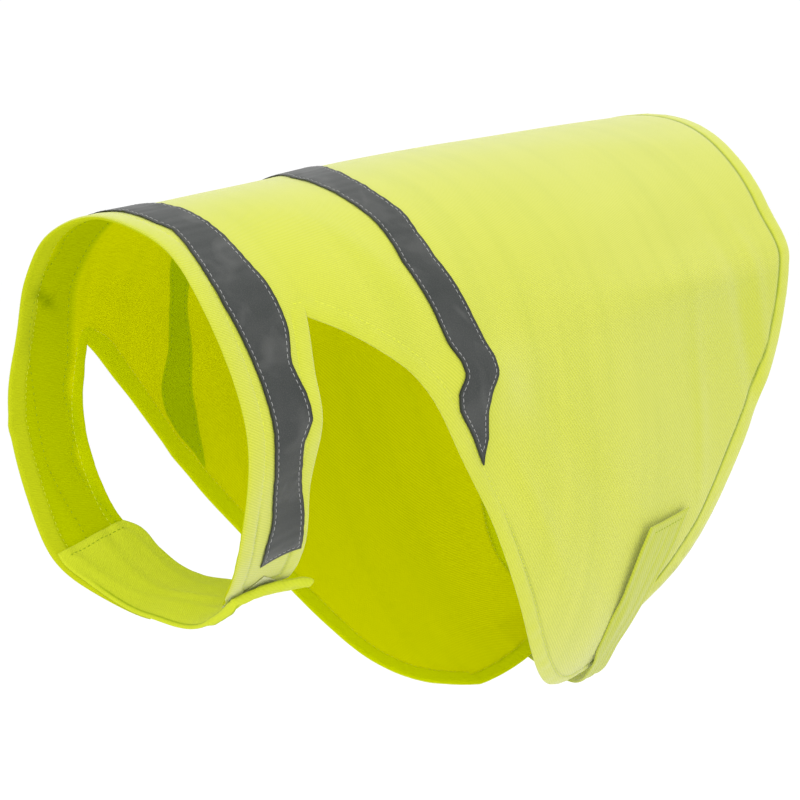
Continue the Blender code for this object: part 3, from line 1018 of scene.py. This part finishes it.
SEAM, SEAM_DEPTH, SEAM_HALF = 4.2, 0.35, 0.9  # seam of a doubled strip: from its edge, depth, half width
SOFT_STEPS = np.array((0, 0.15, 0.5, 1.1, 2.0, 3.0, SEAM))
FASTENER, STRIP, CLEAR = 0.6, 1.2, 0.15  # thickness of a fastener's half and of a strip, gaps between
LOOP_LIFT = CLOTH + CLEAR + FASTENER / 2
HOOK_LIFT = LOOP_LIFT + FASTENER + CLEAR
STRIP_LIFT = HOOK_LIFT + FASTENER / 2 + 0.3 + STRIP / 2
INSIDE_LIFT = -1.5
CROWN_RUN = 6.0  # from a strip's edge to its full plumpness
ROLL_AT, ROLL_HALF, ROLL_UNEVEN = 2.0, 1.6, 0.2  # the rolled edge: from the edge, half width, unevenness


def puffed(sheet, plump, roll, creases, seed):
    """Over and under thickness of a doubled strip; creases give (strength, depth, distance, half width)."""
    half = rounded(sheet.edge, STRIP / 2)
    crown = ease(sheet.edge / CROWN_RUN)
    rolled = roll * (1 + ROLL_UNEVEN * ripple(sheet.along, seed)) * hump(sheet.edge - ROLL_AT, ROLL_HALF)
    groove = SEAM_DEPTH * hump(sheet.edge - SEAM, SEAM_HALF)
    arc, y = sheet.uv[:, 0] / MM, sheet.uv[:, 1] / MM
    over = half + plump * crown + rolled - groove
    under = half + 0.25 * crown + 0.5 * rolled - 0.3 * groove
    for strength, depth, distance, width in creases(arc, y):
        cut = depth * strength * hump(distance, width) * ease((sheet.edge - 2) / 5)
        over, under = over - cut, under + 0.6 * cut
    return over, under


def creases_along(table, rows):
    """Creases that wander along a strip: share of its width, depth, wander, phase and half width."""

    def creases(arc, y):
        front, rear = smooth(table, 1, arc / ARC), smooth(table, 2, arc / ARC)
        for share, depth, wander, phase, width in rows:
            middle = front + (rear - front) * share + wander * np.sin(arc / 28 + phase)
            yield ease(1.2 - abs(np.sin(arc / 55 + phase)) * 0.8), depth, y - middle, width

    return creases


TAB_CREASES = ((0.25, 1.3, 4.0, 0.5, 2.6), (0.5, 1.2, 3.0, 2.0, 3.2), (0.75, 1.0, 3.0, 4.0, 2.4))
STRAP_CREASES = (
    (0.2, 0.35, 1.5, 1.0, 1.5),
    (0.38, 0.45, 2.0, 3.0, 1.3),
    (0.6, 0.5, 1.5, 0.2, 1.4),
    (0.8, 0.35, 1.0, 4.4, 1.2),
)
PEEL, PEEL_START, PEEL_RUN = 1.7, -195.0, 15.0  # the tab's free end stands off: by, from this turn, within
SEWN_TO = -138  # turn to which the tab is puckered by its seam
TAB_PUCKER, PUCKER_RUN = 0.45, 9
TAB_ROLL, END_ROLL, END_ROLL_START, END_ROLL_RUN = 0.4, 1.6, -192, 9  # rolled edge, and more at the free end
# the front edge's layers, and the painted shade on the line between them:
FRONT_EDGE, LAYER_LINE, LAYER_HALF, LAYER_RUN = 3.2, 2.1, 0.45, 12  # line between the front edge's layers
TIP_TURN = 164  # of the flaps' tips
STAND, STAND_START, STAND_RUN = 1.6, -222, 12  # the strap's free end stands off: by, from this turn, within
PRESS, PRESS_END, PRESS_START = 1.7, -226, -204  # its front edge is pressed down between these turns: by
tab_lift = under_to_over(INSIDE_LIFT, STRIP_LIFT, -STRAP_END_TURN, STRAP_END_TURN - 360)
strap_lift = under_to_over(CLOTH + CLEAR + STRIP / 2, STRIP_LIFT, -TIP_TURN, TIP_TURN - 360)


def tab_out(turn, y, share):
    """The tab's free end peels off a little, most at its rear corner, and its sewn end puckers."""
    peel = PEEL * ease((PEEL_START - turn) / PEEL_RUN) * (0.25 + 0.75 * ease(share * 1.6))
    pucker = TAB_PUCKER * np.sin(y / 2.4 + 1.3 * np.sin(y / 5)) * ease((turn - SEWN_TO) / PUCKER_RUN)
    return tab_lift(turn) + peel + pucker


def strap_out(turn, y, share):
    """The strap stands off the panel a little at its end, and its front edge is pressed down further on."""
    stand = STAND * ease((STAND_START - turn) / STAND_RUN) * (1 - share) ** 2
    pressed = PRESS * ease((turn - PRESS_END) / 8) * ease((0.3 - share) / 0.3)
    return strap_lift(turn) + stand - pressed * ease((PRESS_START - turn) / 6)


tab = strip_sheet(TAB, tab_out, SOFT_STEPS, TAB_SKEW)
tab_turn = tab.uv[:, 0] / MM / ARC
tab_roll = TAB_ROLL + END_ROLL * ease((END_ROLL_START - tab_turn) / END_ROLL_RUN)
by_front = tab.uv[:, 1] / MM - smooth(TAB, 1, tab_turn) < FRONT_EDGE
# Painted shade on the line between the two layers along the tab's front edge
layer_gap_shade = hump(tab.edge - LAYER_LINE, LAYER_HALF) * by_front * ease((SEWN_TO - tab_turn) / LAYER_RUN)
chest_tab = tab.shell(
    "chest_tab_cloth",
    *puffed(tab, 1.0, tab_roll, creases_along(TAB, TAB_CREASES), 21),
    (tab_cloth,),
    [("line", layer_gap_shade)],
)
place_piece(chest_tab, ["chest_tab"])

strap = strip_sheet(STRAP, strap_out, SOFT_STEPS)
belly_strap = strap.shell(
    "belly_strap_cloth", *puffed(strap, 0.25, 0.2, creases_along(STRAP, STRAP_CREASES), 22), (strap_cloth,)
)
place_piece(belly_strap, ["belly_strap"])

for name, node, table, lift, finish, skew in (
    ("chest_loop_pile", "chest_loop", CHEST_LOOP, LOOP_LIFT, loop_finish, TAB_SKEW),
    ("chest_hook_rows", "chest_hook", CHEST_HOOK, HOOK_LIFT, hook_finish, TAB_SKEW),
    ("belly_loop_pile", "belly_loop", BELLY_LOOP, LOOP_LIFT, loop_finish, 0.0),
    ("belly_hook_rows", "belly_hook", BELLY_HOOK, HOOK_LIFT, hook_finish, 0.0),
):
    sheet = strip_sheet(table, lambda turn, y, share, lift=lift: lift + 0 * turn, SOFT_STEPS, skew)
    half = rounded(sheet.edge, FASTENER / 2)
    place_piece(sheet.shell(name, half, half, (finish,)), [node])

# ---- sew the panel, tab and strap

# Stitches are (length, width, rise) after their runs
hem_offset = panel.hem[panel.loop]
hem_line = resampled(*panel.line_inside(hem_offset), pitch=3.0, seed=31, closed=True)
behind = hem_line[0][:, 1] > REAR_LINE * MM
front_line, rear_line = [part[~behind] for part in hem_line], [part[behind] for part in hem_line]
hem_sewing = stitches("hem_stitches", [front_line], 2.3, 0.32, 0.12, lime_thread)
rear_sewing = stitches("rear_hem_stitches", [rear_line], 2.6, 0.3, 0.1, dark_thread)
inner_line = resampled(*panel.line_inside(hem_offset, low=True), pitch=3.0, seed=32, closed=True)
inner_sewing = stitches("hem_stitches_inside", [inner_line], 2.0, 0.32, 0.16, lime_thread)


def under_tape(table, column, inset, seed):
    """The tape's stitches where they come through on the panel's inner face."""
    end_gap, count, sure = 3, 400, 1.5  # degrees, places, and mm inside the tape's edges
    turn = np.linspace(table[0][0] + end_gap, table[-1][0] - end_gap, count)
    y = sewn_edge(table, column, turn) + inset
    on_tape = inside_tape(np.stack([y, turn], -1), table) > sure
    turn, y = turn[on_tape], y[on_tape]
    places, normals, _, _ = zip(*(panel.low.find_nearest(Vector(p)) for p in on_cloth(y, turn)))
    return resampled(np.array(places), np.array(normals), pitch=3.6, seed=seed)


under_lines = []
for table in (NECK_TABLE, BACK_TABLE):
    for column, inset in ((1, TAPE_STITCH), (2, -TAPE_STITCH)):
        under_lines.append(under_tape(table, column, inset, 40 + len(under_lines)))
under_sewing = stitches("tape_stitches_inside", under_lines, 1.6, 0.36, 0.26, dark_thread)

TAB_SEWN, STRAP_SEWN, STRAP_END = -127.5, -150.5, -237.5  # turns at which their ends are sewn across
tab_seam = resampled(*tab.line_inside(SEAM, low=True, keep=lambda turn: turn > TAB_SEWN), pitch=2.8, seed=33)
tab_sewing = stitches("tab_stitches", [tab_seam], 2.0, 0.42, 0.34, dark_thread)
strap_start = resampled(*strap.line_inside(SEAM, keep=lambda turn: turn > STRAP_SEWN), pitch=3.0, seed=34)
strap_end = resampled(*strap.line_inside(SEAM, keep=lambda turn: turn < STRAP_END), pitch=3.0, seed=36)
strap_seams = stitches("strap_stitches", [strap_start, strap_end], 2.0, 0.4, 0.26, dark_thread)

# ---- floor, light, camera


def area_light(name, place, aim, size, power):
    lamp = bpy.data.lights.new(name, "AREA")
    lamp.shape, lamp.size, lamp.energy = "DISK", size, power
    holder = bpy.data.objects.new(name, lamp)
    holder.location = place
    holder.rotation_euler = (Vector(aim) - Vector(place)).to_track_quat("-Z", "Y").to_euler()
    bpy.context.scene.collection.objects.link(holder)


def floor_material():
    nodes = Nodes("pale_floor")
    colour = nodes.mix(nodes.noise(nodes.place(), 30.0), rgb(0.96, 0.96, 0.96), rgb(0.98, 0.98, 0.98))
    return nodes.finish("BsdfPrincipled", {"Base Color": colour, "Roughness": 0.9})


FLOOR_DROP, FLOOR_HALF = 0.75, 30.0
corners = [(x * FLOOR_HALF, y * FLOOR_HALF, -FLOOR_DROP) for x, y in ((-1, -1), (1, -1), (1, 1), (-1, 1))]
floor = piece_of("floor", mesh_of("floor", np.array(corners), np.array([[0, 1, 2, 3]]), [floor_material()]))

world = bpy.data.worlds.new("studio")
world.use_nodes = True
world.node_tree.nodes["Background"].inputs["Color"].default_value = rgb(1.0, 1.0, 1.0)
world.node_tree.nodes["Background"].inputs["Strength"].default_value = 1.04
bpy.context.scene.world = world
area_light("key", place=(1.5, -1.4, 1.0), aim=(0, 0, -0.12), size=1.2, power=17.0)
area_light("top", place=(0.1, 0.2, 2.2), aim=(0, 0, -0.1), size=1.8, power=15.0)
bpy.context.scene.view_settings.view_transform = "Standard"

# The camera found from the photograph's outlines; the object leans in the frame, so the camera rolls
AZIMUTH, ELEVATION, ROLL = radians(41), radians(6), radians(9.7)
LENS, DISTANCE, TARGET = 96.03, 1.127, Vector((-0.012, -0.018, -0.128))
back = Vector((sin(AZIMUTH) * cos(ELEVATION), -cos(AZIMUTH) * cos(ELEVATION), sin(ELEVATION)))
right = Vector((cos(AZIMUTH), sin(AZIMUTH), 0))
above = back.cross(right)
turned_right = right * cos(ROLL) - above * sin(ROLL)
turned_up = right * sin(ROLL) + above * cos(ROLL)
camera_data = bpy.data.cameras.new("camera")
camera_data.lens, camera_data.sensor_width = LENS, 36.0
camera = bpy.data.objects.new("camera", camera_data)
pose = Matrix((turned_right, turned_up, back)).transposed().to_4x4()
pose.translation = TARGET + back * DISTANCE
camera.matrix_world = pose
bpy.context.scene.collection.objects.link(camera)
bpy.context.scene.camera = camera
